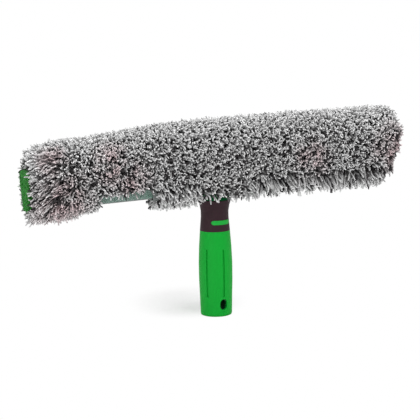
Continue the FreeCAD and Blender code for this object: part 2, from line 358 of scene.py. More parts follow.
def strandFinish(name, stops, tint, spots, patchScale, paintedRootShade, roughness, sheen):
    # Yarn: each strand has its own tone, with painted shade that darkens it towards its root, and a ragged
    # tint in spots
    material, bench = newFinish(name)
    toneAndLight = bench.add("ShaderNodeAttribute", {"attribute_name": "strandTone"}, None, "Fac")
    along = bench.add("ShaderNodeAttribute", {"attribute_name": "strandAlong"}, None, "Fac")
    colour = bench.add("ShaderNodeValToRGB", {"stops": stops}, {"Fac": toneAndLight})
    ragged = bench.add("ShaderNodeValToRGB", {"stops": [(0.3, 0.0), (0.6, 1.0)]},
                       {"Fac": speckle(bench, patchScale)})
    tinted = bench.add("ShaderNodeMix", {"data_type": "RGBA", "blend_type": "MULTIPLY"},
                       {0: nearSpots(bench, spots) * ragged, 6: colour, 7: (*tint, 1)}, out=2)
    # painted shade: each strand darkens towards its root, for the shade deep among the strands
    shade = paintedRootShade + (1 - paintedRootShade) * along ** 2.1
    twist = speckle(bench, 1400.0, 1.0)
    finishSurface(bench, {
        "Base Color": tinted * shade,
        "Roughness": roughness,
        "Sheen Weight": sheen,
        "Normal": bump(bench, twist, 0.00015),
    })
    return material


def plushAndPaintedShadeFinish():
    material, bench = newFinish("fleeceGround")
    knots = speckle(bench, 700.0, 3.0)
    finishSurface(bench, {
        # near-black: partly the fleece base's own dark, partly painted shade for the gaps between strands
        "Base Color": bench.mix(knots, (0.004, 0.003, 0.004, 1), (0.02, 0.017, 0.019, 1)),
        "Roughness": 0.9,
        "Normal": bump(bench, knots, 0.0008),
    })
    return material


def wovenFinish(name, dark, pale, pitch):
    material, bench = newFinish(name)
    place = bench.add("ShaderNodeTexCoord", None, None, "Object")
    threads = bench.add("ShaderNodeTexChecker", None, {"Vector": place, "Scale": 1 / pitch}, "Fac")
    fuzz = speckle(bench, 500.0, 3.0)
    weave = 0.55 * threads + 0.45 * fuzz
    finishSurface(bench, {
        "Base Color": bench.mix(weave, (*dark, 1), (*pale, 1)),
        "Roughness": 0.85,
        "Sheen Weight": 0.2,
        "Normal": bump(bench, weave, 0.0003),
    })
    return material


warmSpots = (  # centre and radius of the fleece's pinkish patches
    ((-0.205, -0.03, 0.150), 0.055),
    ((-0.215, -0.03, 0.200), 0.030),
    ((-0.143, -0.03, 0.188), 0.036),
    ((-0.118, -0.03, 0.168), 0.032),
    ((0.111, -0.03, 0.172), 0.034),
    ((0.225, -0.03, 0.175), 0.045),
    ((0.060, 0.03, 0.180), 0.045),
    ((-0.130, 0.03, 0.170), 0.040),
)
yarnTones = [
    (0.0, (0.005, 0.003, 0.004)), (0.24, (0.018, 0.012, 0.015)),
    (0.28, 0.10), (0.33, 0.50), (0.65, 0.72), (1.0, 0.92),
]
warmTint = (1.0, 0.77, 0.79)


def yarnFinish(name, paintedRootShade, sheen):
    return strandFinish(name, yarnTones, warmTint, warmSpots, 60.0, paintedRootShade, 0.8, sheen)


# the pocket and fringe copies have less painted root shade: painted light, so these parts read brighter, as
# if more lit
fleeceFinish = yarnFinish("fleeceYarn", 0.02, 0.08)
pocketFinish = yarnFinish("pocketYarn", 0.16, 0.08)
fringeFinish = yarnFinish("fringeYarn", 0.55, 0.15)
plushAndPaintedShade = plushAndPaintedShadeFinish()
clothFinish = wovenFinish("sleeveCloth", (0.10, 0.11, 0.11), (0.26, 0.28, 0.27), 0.0009)
tapeFinish = wovenFinish("tapeGround", (0.14, 0.25, 0.21), (0.34, 0.43, 0.39), 0.0007)
print("finishes made")


# Tufts grown by Geometry Nodes over a ground mesh

tuftInputs = {  # socket type and starting value
    "Density": ("NodeSocketFloat", 200000.0),
    "Length": ("NodeSocketFloat", 0.013),
    "Length Spread": ("NodeSocketFloat", 0.25),
    "Radius": ("NodeSocketFloat", 0.0008),
    "Taper": ("NodeSocketFloat", 0.5),
    "Splay": ("NodeSocketFloat", 0.4),
    "Bend": ("NodeSocketFloat", 0.4),
    "Droop": ("NodeSocketFloat", 0.4),
    "Clump": ("NodeSocketFloat", 0.5),
    "Clump Scale": ("NodeSocketFloat", 90.0),
    "Curl": ("NodeSocketFloat", 0.0016),
    "Turns": ("NodeSocketFloat", 1.1),
    "Steps": ("NodeSocketInt", 7),
    "Sides": ("NodeSocketInt", 4),
    "Crown Tone": ("NodeSocketFloat", 0.0),
    "Seed": ("NodeSocketInt", 1),
    "Finish": ("NodeSocketMaterial", None),
}


def makeTuftTree():
    tree = bpy.data.node_groups.new("tuftTree", "GeometryNodeTree")
    tree.interface.new_socket("Geometry", in_out="INPUT", socket_type="NodeSocketGeometry")
    for name, (kind, value) in tuftInputs.items():
        socket = tree.interface.new_socket(name, in_out="INPUT", socket_type=kind)
        if value is not None:
            socket.default_value = value
    tree.interface.new_socket("Geometry", in_out="OUTPUT", socket_type="NodeSocketGeometry")
    bench = Bench(tree)
    given = bench.add("NodeGroupInput", None, None, "Geometry")

    def stored(name, kind="FLOAT_VECTOR"):
        return bench.add("GeometryNodeInputNamedAttribute", {"data_type": kind}, {"Name": name})

    def store(geometry, name, value, kind="FLOAT_VECTOR"):
        return bench.add("GeometryNodeStoreNamedAttribute", {"data_type": kind, "domain": "POINT"},
                         {"Geometry": geometry, "Name": name, "Value": value})

    def chance(low, high, offset):
        seed = given.other("Seed") + offset
        return bench.add("FunctionNodeRandomValue", {"data_type": "FLOAT"},
                         {2: low, 3: high, "Seed": seed}, 1)

    def chanceVector(offset):
        seed = given.other("Seed") + offset
        return bench.add("FunctionNodeRandomValue", {"data_type": "FLOAT_VECTOR"},
                         {0: (-1, -1, -1), 1: (1, 1, 1), "Seed": seed}, 0)

    def unit(vector):
        return bench.add("ShaderNodeVectorMath", {"operation": "NORMALIZE"}, {0: vector})

    def cross(first, second):
        return bench.add("ShaderNodeVectorMath", {"operation": "CROSS_PRODUCT"}, {0: first, 1: second})

    scatter = bench.add("GeometryNodeDistributePointsOnFaces", {"distribute_method": "RANDOM"}, {
        "Mesh": given,
        "Density": given.other("Density") * stored("thick", "FLOAT"),
        "Seed": given.other("Seed"),
    })
    place = bench.add("GeometryNodeInputPosition")
    comb = stored("comb")
    swirl = bench.add("ShaderNodeTexNoise", None,
                      {"Vector": place, "Scale": given.other("Clump Scale"), "Detail": 1.0}, "Color")
    swirl = (swirl - (0.5, 0.5, 0.5)) * 2.0
    spread = given.other("Length Spread")
    length = given.other("Length") * stored("reach", "FLOAT") * (1.0 + spread * chance(-1.0, 1.0, 1))
    heading = unit(scatter.other("Normal") + comb + chanceVector(2) * given.other("Splay"))
    grow = heading * length
    lean = swirl * given.other("Clump") + chanceVector(3) * given.other("Bend")
    bend = cross(cross(heading, lean), heading) * given.other("Length")
    bend = bend + comb * (given.other("Droop") * length)
    side = unit(cross(heading, chanceVector(4))) * given.other("Curl")
    points = store(scatter, "rootAt", place)
    points = store(points, "grow", grow)
    points = store(points, "bend", bend)
    points = store(points, "side", side)
    points = store(points, "phase", chance(0.0, 2 * math.pi, 5), "FLOAT")
    # painted light: strands on the top and the underside are paler, for light from above and light bounced
    # from the floor
    up = bench.add("ShaderNodeVectorMath", {"operation": "DOT_PRODUCT"},
                   {0: scatter.other("Normal"), 1: (0, 0, 1)}, "Value")
    pale = bench.add("ShaderNodeMath", {"operation": "ABSOLUTE"}, {0: up}) * given.other("Crown Tone")
    toneAndLight = chance(0.0, 1.0, 6) * (1.0 - pale) + pale
    points = store(points, "strandTone", toneAndLight, "FLOAT")
    line = bench.add("GeometryNodeCurvePrimitiveLine")
    line = bench.add("GeometryNodeResampleCurve", {"mode": "COUNT"},
                     {"Curve": line, "Count": given.other("Steps")})
    strands = bench.add("GeometryNodeInstanceOnPoints", None, {"Points": points, "Instance": line})
    strands = bench.add("GeometryNodeRealizeInstances", None, {"Geometry": strands})
    along = bench.add("GeometryNodeSplineParameter", None, None, "Factor")
    angle = along * (given.other("Turns") * (2 * math.pi)) + stored("phase", "FLOAT")
    wave = bench.add("ShaderNodeMath", {"operation": "SINE"}, {0: angle}) * along
    sway = bench.add("ShaderNodeMath", {"operation": "COSINE"}, {0: angle}) * along
    path = stored("rootAt") + stored("grow") * along + stored("bend") * (along * along)
    path = path + stored("side") * wave + cross(unit(stored("grow")), stored("side")) * sway
    strands = bench.add("GeometryNodeSetPosition", None, {"Geometry": strands, "Position": path})
    strands = store(strands, "strandAlong", along, "FLOAT")
    thickness = given.other("Radius") * (1.0 - given.other("Taper") * along ** 4.0)
    ring = bench.add("GeometryNodeCurvePrimitiveCircle", None,
                     {"Resolution": given.other("Sides"), "Radius": 1.0})
    yarn = bench.add("GeometryNodeCurveToMesh", None,
                     {"Curve": strands, "Profile Curve": ring, "Scale": thickness, "Fill Caps": True})
    yarn = bench.add("GeometryNodeSetShadeSmooth", None, {0: yarn})
    yarn = bench.add("GeometryNodeRealizeInstances", None, {"Geometry": yarn})
    yarn = bench.add("GeometryNodeSetMaterial", None, {"Geometry": yarn, "Material": given.other("Finish")})
    bench.add("NodeGroupOutput", None, {"Geometry": yarn})
    return tree


tuftTree = makeTuftTree()
workNames = ("rootAt", "grow", "bend", "side", "phase", "comb", "reach", "thick")


def treeMesh(name, ground, tree, values):
    # Runs a tree on a ground object and keeps the result as a plain mesh of its own
    modifier = ground.modifiers.new("grow", "NODES")
    modifier.node_group = tree
    for item in tree.interface.items_tree:
        if item.in_out == "INPUT" and item.name in values:
            modifier[item.identifier] = values[item.name]
    evaluated = ground.evaluated_get(bpy.context.evaluated_depsgraph_get())
    mesh = bpy.data.meshes.new_from_object(evaluated)
    mesh.name = name
    ground.modifiers.remove(modifier)
    for spare in workNames:
        if spare in mesh.attributes:
            mesh.attributes.remove(mesh.attributes[spare])
    piece = bpy.data.objects.new(name, mesh)
    scene.collection.objects.link(piece)
    return piece


def groundObject(name, vertices, faces, habit):
    # A ground mesh whose points hold the lie, length and thickness of what grows there
    mesh = bpy.data.meshes.new(name)
    mesh.from_pydata(vertices, [], faces)
    ground = bpy.data.objects.new(name, mesh)
    scene.collection.objects.link(ground)
    combs, reaches, thicks = zip(*[habit(vertex.co, vertex.normal) for vertex in mesh.vertices])
    comb = mesh.attributes.new("comb", "FLOAT_VECTOR", "POINT")
    comb.data.foreach_set("vector", [part for lie in combs for part in lie])
    for name, values in (("reach", reaches), ("thick", thicks)):
        mesh.attributes.new(name, "FLOAT", "POINT").data.foreach_set("value", values)
    return ground


def growTufts(name, body, slot, vertices, faces, habit, values):
    ground = groundObject(name + "Ground", vertices, faces, habit)
    piece = treeMesh(name, ground, tuftTree, values)
    bpy.data.objects.remove(ground)
    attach(piece, body)
    print(name, len(piece.data.polygons), "faces")
    return piece


def evenHabit(place, normal):
    return Vector((0, 0, 0)), 1.0, 1.0


def meshPiece(name, body, build, finish):
    # A plain mesh piece from a bmesh that build fills in
    form = bmesh.new()
    build(form)
    bmesh.ops.remove_doubles(form, verts=form.verts, dist=1e-6)
    bmesh.ops.recalc_face_normals(form, faces=form.faces)
    mesh = bpy.data.meshes.new(name)
    form.to_mesh(mesh)
    form.free()
    mesh.materials.append(finish)
    piece = bpy.data.objects.new(name, mesh)
    scene.collection.objects.link(piece)
    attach(piece, body)
    return piece


# Fleece sleeve: a dark ground over the cloth, partly painted shade, and strands of grey and black yarn

pileLow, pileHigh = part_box("sleeve_pile")
clothLow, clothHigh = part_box("sleeve_backing")
tapeLow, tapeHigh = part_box("loop_tape")
padLow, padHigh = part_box("scrub_pad")
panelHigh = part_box("right_end_panel")[1]
flapCloths = {side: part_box(f"{side}_flap_backing") for side in ("left", "right")}

fleece = {
    "depth": 0.0072,  # ground below the pile's outer form
    "flapDepths": {"left": (0.0075, 0.0085), "right": (0.0130, 0.0075)},  # along a flap, and at its right end
    "creases": {"left": 0.0, "right": 0.0030},  # how far a flap draws in below the sleeve's front foot
    "flapInsets": {"left": 0.0080, "right": 0.0035},  # of the fleece at the flap's outer end
    "clothGap": 0.0002,
    "clothThickness": 0.0012,
    "clothCorner": 0.0078,
    "hemAboveFlap": 0.0021,
    "endGround": 0.004,
    "padGap": 0.0008,
    "padPress": 0.7,
    "frontFoot": flapCloths["left"][1].z + 0.0012,
    "backFoot": clothLow.z + 0.003,
    "mouth": tapeLow.x,  # where the closed pocket ends
    "sags": (  # how far the top sinks, between which two places along X
        (0.0085, -0.050, -0.190),
        (0.0060, -0.190, -0.240),
        (0.0022, 0.060, 0.180),
        (0.0030, 0.208, 0.236),
    ),
    "mouthRise": (0.0035, -0.190, -0.159),
    "neckDip": (0.0128, 0.0302, 0.0260),  # how far the front foot drops over the neck, and its ramp along X
    "tapeRoom": (0.0009, 0.008),  # kept free in front of the loop tape and above it
    "endStep": (0.0028, 0.165, 0.156),  # the right end's lower part steps back
    "wispScale": 130.0,  # how closely the fringe breaks into wisps
    "flapArc": (8, 112),  # degrees that a flap's ground spans
    "flapSwell": 0.75,  # where along a flap its ground starts to change depth
    "flapSkin": (0.0008, 0.0036),  # least ground over a flap's cloth, in front and at the rear
    "skinTurns": (1.3, 1.6),  # between which angles of the arc, in radians, the rear begins
    "depthTurns": (0.1, 1.0),  # and a flap takes its own depth
    "creaseTurns": (0.6, 0.15),  # and its crease
    "footPinch": (0.0085, 0.200),  # the front foot draws in towards the right end
    "pinchHeight": 0.184,  # below which it does so
    "rearPinch": (0.32, -0.200),  # the rear draws in towards the left end
    "flankSteps": 5,
    "archSteps": 14,
    "stations": 40,
    "spans": 7,
    "spanRows": 8,
    "pocketRows": 6,
    "mouthLip": 0.020,  # height of the pocket's open edge that has strands
    "seeds": {"sleeve": 11, "pocket": 31, "rightEnd": 41, "leftEnd": 42, "mouth": 43},
    "flapSeeds": {"left": 51, "right": 61},
}
strands = {
    "Density": 250000.0,
    "Length": 0.0074,
    "Length Spread": 0.22,
    "Radius": 0.00098,
    "Taper": 0.25,
    "Splay": 0.3,
    "Bend": 0.75,
    "Droop": 0.25,
    "Clump": 0.4,
    "Clump Scale": 110.0,
    "Curl": 0.0012,
    "Turns": 0.9,
    "Crown Tone": 0.42,
    "Steps": 7,
    "Sides": 4,
    "Finish": fleeceFinish,
}
flapEndStrands = {
    **strands,
    "Length Spread": 0.5,
    "Radius": 0.0013,
    "Clump": 0.8,
    "Clump Scale": 140.0,
    "Finish": fringeFinish,
}
fringeStrands = {**flapEndStrands, "Radius": 0.0011, "Splay": 0.2, "Bend": 0.4, "Curl": 0.0008, "Clump": 1.2}


def blendIn(start, end, value):
    # 0 at start, 1 at end, eased between
    share = min(max((value - start) / (end - start), 0.0), 1.0)
    return share * share * (3 - 2 * share)


def liesBy(table):
    return lambda name, value: blendIn(*table[name], value)


def spaced(start, end, count):
    return [start + (end - start) * i / count for i in range(count + 1)]


def sleeveRing(half, top, corner, frontFoot, backFoot):
    # Outline from the front foot over the crown to the back foot, as (y, z)
    crown = top - corner
    flat = half - corner
    flank, arch = fleece["flankSteps"], fleece["archSteps"]
    front = [(-half, z) for z in spaced(frontFoot, crown, flank)[:-1]]
    over = []
    for turn in spaced(0, math.pi, arch):
        centre = -flat if turn < math.pi / 2 else flat
        over.append((centre - corner * math.cos(turn), crown + corner * math.sin(turn)))
    back = [(half, z) for z in spaced(crown, backFoot, flank)[1:]]
    return front + over + back


def pocketRing(half, top, corner, foot):
    # Closed outline, with the sleeve's crown above and a belly below
    belly = foot + corner
    flat = half - corner
    under = []
    for turn in spaced(0, math.pi, fleece["archSteps"])[1:-1]:
        centre = flat if turn < math.pi / 2 else -flat
        under.append((centre + corner * math.cos(turn), belly - corner * math.sin(turn)))
    return sleeveRing(half, top, corner, belly, belly) + under


groundHalf = pileHigh.y - fleece["depth"]
groundEnd = panelHigh.x + fleece["endGround"]
panelFace = panelHigh.x + fleece["clothGap"]


def groundTop(x):
    sunk = sum(drop * blendIn(start, end, x) for drop, start, end in fleece["sags"])
    return pileHigh.z - fleece["depth"] - sunk


def frontFoot(x):
    # The front foot dips between the flaps, over the neck
    drop, start, end = fleece["neckDip"]
    return fleece["frontFoot"] - drop * blendIn(start, end, abs(x))


def openGround(x):
    ring = sleeveRing(groundHalf, groundTop(x), groundHalf, frontFoot(x), fleece["backFoot"])
    inward, start = fleece["footPinch"]
    pinch = inward * blendIn(start, groundEnd, x)
    high, low = fleece["pinchHeight"], fleece["frontFoot"]
    return [(y + pinch * blendIn(high, low, z) if y < 0 else y, z) for y, z in ring]


def closedGround(x):
    rise, start, end = fleece["mouthRise"]
    foot = pileLow.z + fleece["depth"] + rise * blendIn(start, end, x)
    inward, start = fleece["rearPinch"]
    pinch = 1 - inward * blendIn(start, -groundEnd, x)
    return [(y * pinch if y > 0 else y, z) for y, z in pocketRing(groundHalf, groundTop(x), groundHalf, foot)]


def padEdge(turn, offset):
    # Point of the pad's rounded edge, in a direction from its centre; the lower rear corner is pressed in
    halfY, halfZ = (padHigh.y - padLow.y) / 2 + offset, (padHigh.z - padLow.z) / 2 + offset
    size = (math.cos(turn) ** 4 + math.sin(turn) ** 4) ** 0.25
    y, z = halfY * math.cos(turn) / size, halfZ * math.sin(turn) / size
    if y > 0:
        y *= 1 - fleece["padPress"] * blendIn(halfZ, -halfZ, z)
    return y, (padLow.z + padHigh.z) / 2 + z


def padRing(outline):
    # The pad's edge, met by each point of the outline seen from the pad's centre
    reachY, reachZ = padHigh.y - padLow.y, padHigh.z - padLow.z
    middle = (padLow.z + padHigh.z) / 2
    return [padEdge(math.atan2((z - middle) / reachZ, y / reachY), fleece["padGap"]) for y, z in outline]


def tubeShell(form, stations, outerAt, innerAt, closed):
    # Closed shell between two outlines along X; open outlines get a lip along both feet
    rows = []
    for x in stations:
        rows.append([[form.verts.new((x, y, z)) for y, z in ringAt(x)] for ringAt in (outerAt, innerAt)])
    count = len(rows[0][0])
    steps = [(i, (i + 1) % count) for i in range(count if closed else count - 1)]
    for (outerA, innerA), (outerB, innerB) in zip(rows, rows[1:]):
        for i, j in steps:
            form.faces.new((outerA[i], outerB[i], outerB[j], outerA[j]))
            form.faces.new((innerA[i], innerA[j], innerB[j], innerB[i]))
        if not closed:
            for i in (0, count - 1):
                form.faces.new((outerA[i], innerA[i], innerB[i], outerB[i]))
    for outerRow, innerRow in (rows[0], rows[-1]):
        for i, j in steps:
            form.faces.new((outerRow[i], outerRow[j], innerRow[j], innerRow[i]))


def placed(ring, x):
    return [(x, y, z) for y, z in ring]


def rightFace():
    # Outline of the ground's right end
    back, start, end = fleece["endStep"]
    return [(groundEnd - back * blendIn(start, end, z), y, z) for y, z in openGround(groundEnd)]


def prism(form, first, second):
    first, second = ([form.verts.new(spot) for spot in ring] for ring in (first, second))
    form.faces.new(first)
    form.faces.new(second)
    for i in range(len(first)):
        j = (i + 1) % len(first)
        form.faces.new((first[i], first[j], second[j], second[i]))


def overCloth(x):
    half, top = clothHigh.y + fleece["clothGap"], clothHigh.z + fleece["clothGap"]
    ring = sleeveRing(half, top, fleece["clothCorner"], frontFoot(x), fleece["backFoot"])
    hair = 0.0001  # so that the ramp's own stations count as part of the dip
    if abs(x) > fleece["neckDip"][1] + hair:
        return ring
    ahead, above = fleece["tapeRoom"]
    return [(tapeLow.y - ahead if y < 0 and z < tapeHigh.z + above else y, z) for y, z in ring]


def roundCloth(x):
    half, top = clothHigh.y + fleece["clothGap"], clothHigh.z + fleece["clothGap"]
    return pocketRing(half, top, fleece["clothCorner"], clothLow.z - fleece["clothGap"])


def buildGround(form):
    mouth = fleece["mouth"]
    ramp = [side * x for x in fleece["neckDip"][1:] for side in (-1, 1)]
    stations = sorted(spaced(mouth, panelFace, fleece["stations"]) + ramp)
    tubeShell(form, stations, openGround, overCloth, False)
    prism(form, placed(openGround(panelFace), panelFace), rightFace())
    tubeShell(form, spaced(-panelFace, mouth, fleece["flankSteps"]), closedGround, roundCloth, True)
    tubeShell(form, [-groundEnd, -panelFace], closedGround, lambda x: padRing(closedGround(x)), True)


sleeveGround = meshPiece("sleeve_fleece_ground", "washer", buildGround, plushAndPaintedShade)
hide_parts("sleeve_pile")


sleeveLie = {  # where the fleece starts to lie another way, and where it does so fully
    "front": (0.004, -0.014),
    "left": (-0.168, -0.218),
    "right": (0.205, 0.229),
    "high": (0.172, 0.190),
    "tip": (-0.218, -0.230),
    "frontEdge": (0.172, fleece["frontFoot"]),
    "dip": (0.152, 0.146),
    "dipAlong": (0.034, 0.028),
    "backEdge": (0.170, 0.150),
    "back": (0.0, groundHalf),
    "belly": (0.1, -0.9),  # of the normal's rise
    "pocket": (-0.158, -0.160),
    "overTape": (-0.100, -0.150),
    "overEnd": (0.205, 0.215),
    "fold": (0.008, 0.0),  # away from the height of the pocket's fold
    "foldAlong": (-0.205, -0.190),
    "mouth": (-0.186, -0.162),
}
foldHeight = 0.153


def sleeveHabit(place, normal):
    # How the fleece lies: combed outwards at both ends and hanging along the feet
    lies = liesBy(sleeveLie)
    x, y, z = place
    front = lies("front", y)
    left = lies("left", x) * front
    right = lies("right", x)
    high = lies("high", z)
    tip = lies("tip", x)
    frontEdge = lies("frontEdge", z) * front
    dip = lies("dip", z) * front * lies("dipAlong", abs(x))
    backEdge = lies("backEdge", z) * lies("back", y)
    belly = lies("belly", normal.z) * lies("pocket", x)
    overTape = frontEdge * lies("overTape", x)
    overEnd = frontEdge * lies("overEnd", x)
    fold = lies("fold", abs(z - foldHeight)) * front * lies("foldAlong", x) * lies("pocket", x)
    comb = Vector((-1.5, 0, -0.25)) * left + Vector((0.9 * high - 0.5, 0, 0)) * right
    comb += Vector((0, -0.05, -0.2)) * frontEdge + Vector((0, 0.05, -0.6)) * backEdge
    comb += Vector((-0.4 * overEnd, 0, -0.5 * dip - 0.3 * overTape - 1.6 * overEnd))
    comb += Vector((-0.7, -0.15, 0.1)) * belly
    reach = 1.0 + 0.9 * left * (1 - 0.5 * tip) + 0.5 * dip + 1.1 * overEnd - 0.2 * fold
    reach *= (1 - 0.25 * belly) * (1 - 0.2 * tip * (1 - front)) * (1 - 0.3 * right * (1 - high))
    reach *= (1 - 0.4 * lies("mouth", x) * belly) * (1 - 0.35 * backEdge)
    thick = 1.0 - 0.35 * fold
    return comb, reach, thick


def sheetFaces(rows, count, closed):
    faces = []
    for row in range(rows - 1):
        for i in range(count if closed else count - 1):
            j = (i + 1) % count
            here, there = row * count, (row + 1) * count
            faces.append((here + i, there + i, there + j, here + j))
    return faces


def ringSheet(ringAt, start, end, rows, closed):
    rings = [[(x, y, z) for y, z in ringAt(x)] for x in spaced(start, end, rows)]
    return sum(rings, []), sheetFaces(rows + 1, len(rings[0]), closed)


def endStrip(outer, inner, x, facing, closed):
    # The strip between two outlines in the plane across X, facing along +X or -X
    count = len(outer)
    faces = []
    for i in range(count if closed else count - 1):
        j = (i + 1) % count
        face = (i, j, j + count, i + count)
        faces.append(face if facing < 0 else tuple(reversed(face)))
    return [(x, y, z) for y, z in outer + inner], faces


def growSleeve():
    edges = spaced(fleece["mouth"], groundEnd, fleece["spans"])
    for index, (start, end) in enumerate(zip(edges, edges[1:])):
        vertices, faces = ringSheet(openGround, start, end, fleece["spanRows"], False)
        growTufts(f"sleeve_fleece_{index + 1}", "washer", "fleece", vertices, faces, sleeveHabit,
                  {**strands, "Seed": fleece["seeds"]["sleeve"] + index})
    middle = (fleece["mouth"] - groundEnd) / 2
    for index, (start, end) in enumerate(((-groundEnd, middle), (middle, fleece["mouth"]))):
        vertices, faces = ringSheet(closedGround, start, end, fleece["pocketRows"], True)
        growTufts(f"pocket_fleece_{index + 1}", "washer", "fleece", vertices, faces, sleeveHabit,
                  {**strands, "Finish": pocketFinish, "Seed": fleece["seeds"]["pocket"] + index})


def leftEndHabit(place, normal):
    # Short and laid back behind the pad, longer in front of it
    behind = blendIn(-0.008, 0.006, place.y)
    comb = Vector((0, -0.35, -0.1)) * (1 - behind) + Vector((0.6, 1.0, 0.1)) * behind
    return comb, 0.85 - 0.65 * behind, 1.3


def rightEndHabit(place, normal):
    # Spread from the middle, and short on the lower part that steps back
    away = Vector((0, place.y, place.z - (padLow.z + padHigh.z) / 2)).normalized()
    reach = 0.25 + 0.6 * blendIn(0.162, 0.174, place.z)
    return away * 0.4 + Vector((0, 0, -0.15)), reach, 1.0


def mouthHabit(place, normal):
    hang = blendIn(clothHigh.z, clothLow.z, place.z)
    return Vector((-0.25, -0.1, -0.6)) * hang, 0.8, 1.0


def growEnds():
    seeds = fleece["seeds"]
    vertices = rightFace()
    growTufts("right_end_fleece", "washer", "fleece", vertices, [tuple(reversed(range(len(vertices))))],
              rightEndHabit, {**strands, "Seed": seeds["rightEnd"]})
    outer = closedGround(-groundEnd)
    growTufts("left_end_fleece", "washer", "fleece", *endStrip(outer, padRing(outer), -groundEnd, -1, True),
              leftEndHabit, {**strands, "Seed": seeds["leftEnd"]})
    mouth = fleece["mouth"]
    low = [i for i, (y, z) in enumerate(closedGround(mouth)) if z < clothLow.z + fleece["mouthLip"]]
    outer, inner = ([ring[i] for i in low] for ring in (closedGround(mouth), roundCloth(mouth)))
    growTufts("pocket_mouth_fleece", "washer", "fleece", *endStrip(outer, inner, mouth, 1, False),
              mouthHabit, {**strands, "Seed": seeds["mouth"]})


growSleeve()
growEnds()
print("sleeve grown")


# Sleeve cloth and the two flaps that close its underside

def ringLength(ring):
    return sum(math.dist(first, second) for first, second in zip(ring, ring[1:]))


def clothRings(closed):
    wall, corner = fleece["clothThickness"], fleece["clothCorner"]
    top, half = clothHigh.z, clothHigh.y
    if closed:
        return (pocketRing(half, top, corner, clothLow.z),
                pocketRing(half - wall, top - wall, corner - wall, clothLow.z + wall))
    hem = clothLow.z + fleece["hemAboveFlap"]
    return (sleeveRing(half, top, corner, hem, hem),
            sleeveRing(half - wall, top - wall, corner - wall, hem, hem))


def buildSleeveCloth(form):
    end = clothHigh.x
    outer, inner = clothRings(False)
    stations = spaced(fleece["mouth"], end, fleece["stations"])
    tubeShell(form, stations, lambda x: outer, lambda x: inner, False)
    prism(form, placed(outer, end), placed(outer, panelHigh.x))
    pocketOuter, pocketInner = clothRings(True)
    stations = spaced(-end, fleece["mouth"], fleece["flankSteps"])
    tubeShell(form, stations, lambda x: pocketOuter, lambda x: pocketInner, True)
    prism(form, placed(pocketOuter, -panelHigh.x), placed(pocketOuter, -end))


sleeveCloth = meshPiece("sleeve_cloth", "washer", buildSleeveCloth, clothFinish)
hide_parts("sleeve_backing", "left_end_panel", "right_end_panel")
ringLength(clothRings(False)[0])


def flapRings(low, depth, crease):
    # Round outline of the flap's ground, and the cloth's bent outline that it lies on, seen from one centre
    centre = pileLow.z + pileHigh.y
    skin, rearSkin = fleece["flapSkin"]
    upper, lower = fleece["depthTurns"]
    outer, inner = [], []
    for turn in spaced(*(math.radians(angle) for angle in fleece["flapArc"]), fleece["archSteps"]):
        across, down = math.cos(turn), math.sin(turn)
        radius = pileHigh.y - depth * blendIn(upper, lower, turn)
        radius -= fleece["depth"] * blendIn(lower, upper, turn)
        radius -= crease * blendIn(*fleece["creaseTurns"], turn)
        away = (centre - low.z) / down
        if across > 0:
            away = min(away, -low.y / across)
        away += fleece["clothGap"]
        radius = max(radius, away + skin + (rearSkin - skin) * blendIn(*fleece["skinTurns"], turn))
        outer.append((-radius * across, centre - radius * down))
        inner.append((-away * across, centre - away * down))
    return outer, inner


flapLie = {  # where a flap's fleece starts to lie another way, and where it does so fully
    "crease": (0.146, 0.153),
    "creaseAlong": (0.020, 0.110),
    "under": (-0.5, -0.95),  # of the normal's rise
    "rear": (-0.010, 0.006),
    "fringeStart": (0.030, 0.070),
    "fringeEnd": (0.215, 0.185),
    "hang": (0.139, 0.152),
}


def flapHabit(place, normal):
    # Sparse in the crease below the sleeve's front foot, so the near-black ground shows there as painted
    # shade, then a hanging fringe
    # Short and laid forward at the rear
    lies = liesBy(flapLie)
    crease = lies("crease", place.z) * lies("creaseAlong", place.x)
    under = lies("under", normal.z)
    rear = lies("rear", place.y)
    fringe = lies("fringeStart", place.x) * lies("fringeEnd", place.x)
    comb = Vector((0, -0.05 - 0.2 * fringe - 1.2 * rear, -0.6 + 0.4 * rear - 0.7 * fringe * (1 - rear)))
    wisp = noise.noise(Vector((place.x * fleece["wispScale"], 0.3, 0.7))) * fringe * (1 - rear)
    hang = (0.75 + 0.4 * wisp) * fringe * lies("hang", place.z)
    reach = (1.0 - 0.25 * fringe + hang - 0.4 * crease - (0.15 + 0.2 * fringe) * under) * (1 - 0.85 * rear)
    thick = 0.8 - 0.4 * crease - 0.2 * under * (1 - rear) + 0.6 * wisp - 0.15 * fringe
    return comb, reach, thick


def flapEndHabit(towardsNeck, facing):
    # Ends beside the neck close round it; the outer ends hang
    if towardsNeck:
        return lambda place, normal: (Vector((0.2 * facing, -0.1, -0.2)), 1.2, 1.0)
    return lambda place, normal: (Vector((-0.4 * facing, -0.3, -1.2)), 0.6, 1.2)


